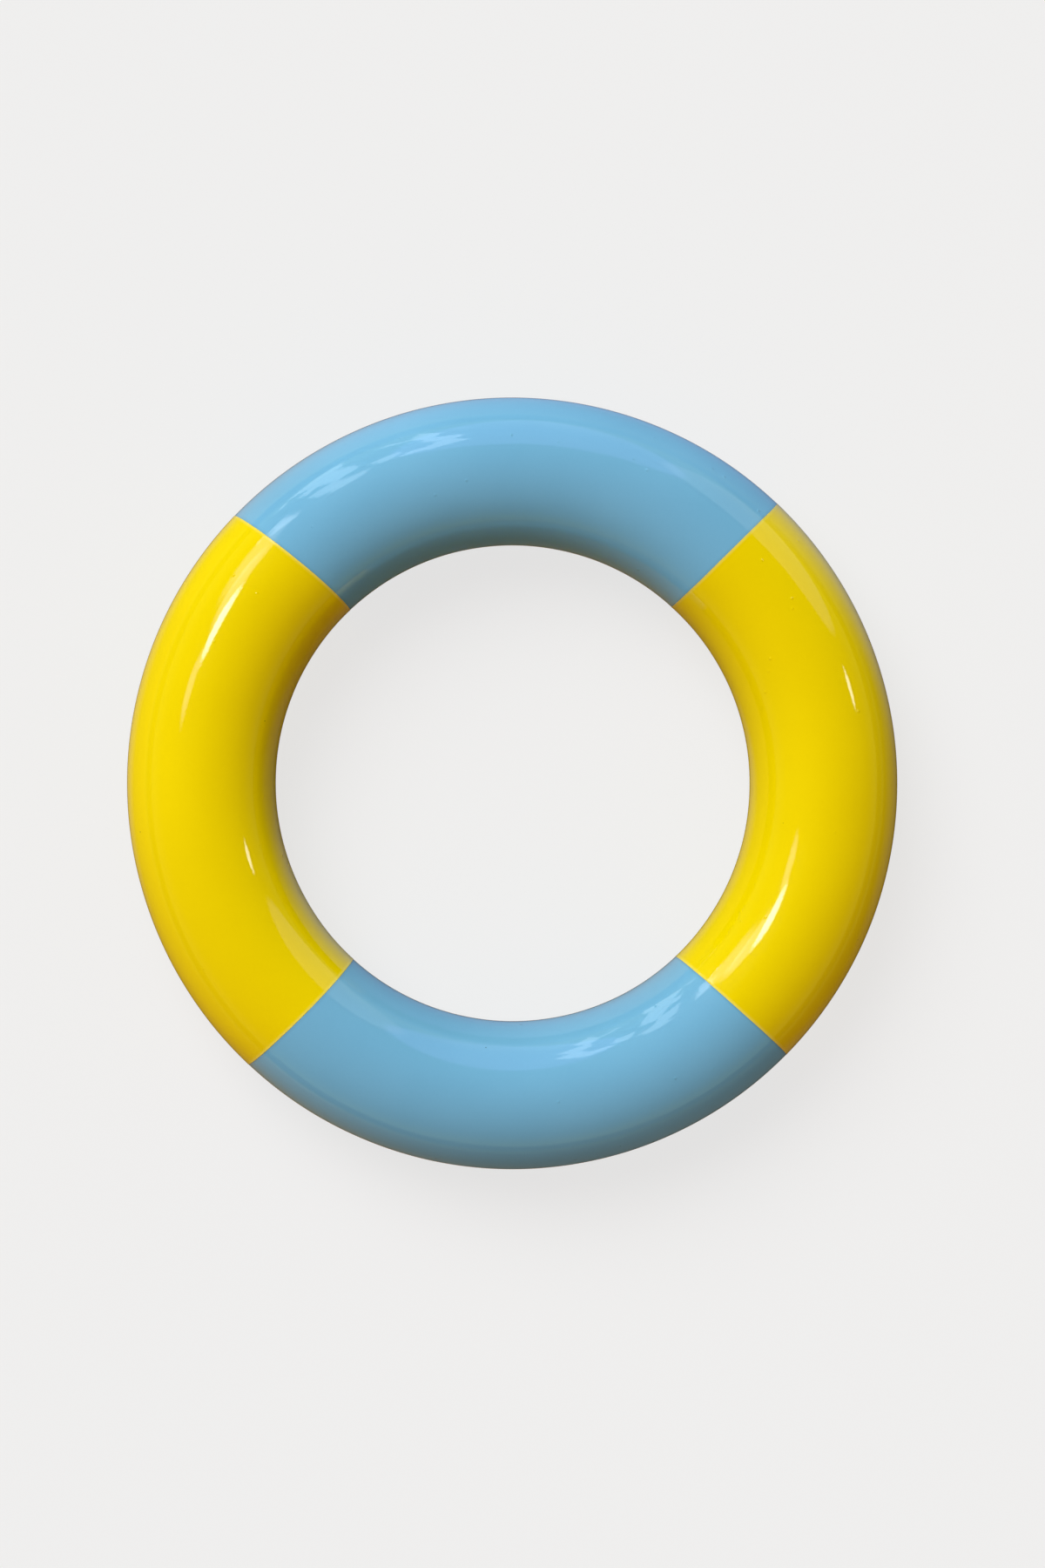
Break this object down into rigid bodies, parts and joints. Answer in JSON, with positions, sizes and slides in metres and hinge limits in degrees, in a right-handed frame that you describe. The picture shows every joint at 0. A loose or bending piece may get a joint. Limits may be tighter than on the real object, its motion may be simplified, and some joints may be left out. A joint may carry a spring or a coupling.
{
  "type": "juggling ring",
  "caption": "Thick round-section juggling ring in glossy lacquered wood, in light blue and yellow quarters joined by hidden dowels.",
  "frame": {"origin": "centre of the ring, on its axis and on the middle plane where the front and back laminations meet", "axes": "+Z along the ring's axis towards its front face, +Y towards the middle of the top blue quarter, +X towards the right yellow quarter; the ring lies flat"},
  "size_m": [0.18, 0.18, 0.0344],
  "materials": {
    "blue_lacquer": "polished",
    "yellow_lacquer": "polished",
    "dowel_beech": "matte"
  },
  "bodies": {
    "root": {"blue_top_front": "blue_lacquer", "blue_top_back": "blue_lacquer", "yellow_left_front": "yellow_lacquer", "yellow_left_back": "yellow_lacquer", "blue_bottom_front": "blue_lacquer", "blue_bottom_back": "blue_lacquer", "yellow_right_front": "yellow_lacquer", "yellow_right_back": "yellow_lacquer", "joint_dowel_upper_right_front": "dowel_beech", "joint_dowel_upper_right_back": "dowel_beech", "joint_dowel_upper_left_front": "dowel_beech", "joint_dowel_upper_left_back": "dowel_beech", "joint_dowel_lower_left_front": "dowel_beech", "joint_dowel_lower_left_back": "dowel_beech", "joint_dowel_lower_right_front": "dowel_beech", "joint_dowel_lower_right_back": "dowel_beech", "locating_dowel_blue_top_1": "dowel_beech", "locating_dowel_blue_top_2": "dowel_beech", "locating_dowel_yellow_left_1": "dowel_beech", "locating_dowel_yellow_left_2": "dowel_beech", "locating_dowel_blue_bottom_1": "dowel_beech", "locating_dowel_blue_bottom_2": "dowel_beech", "locating_dowel_yellow_right_1": "dowel_beech", "locating_dowel_yellow_right_2": "dowel_beech"}
  },
  "joints": []
}
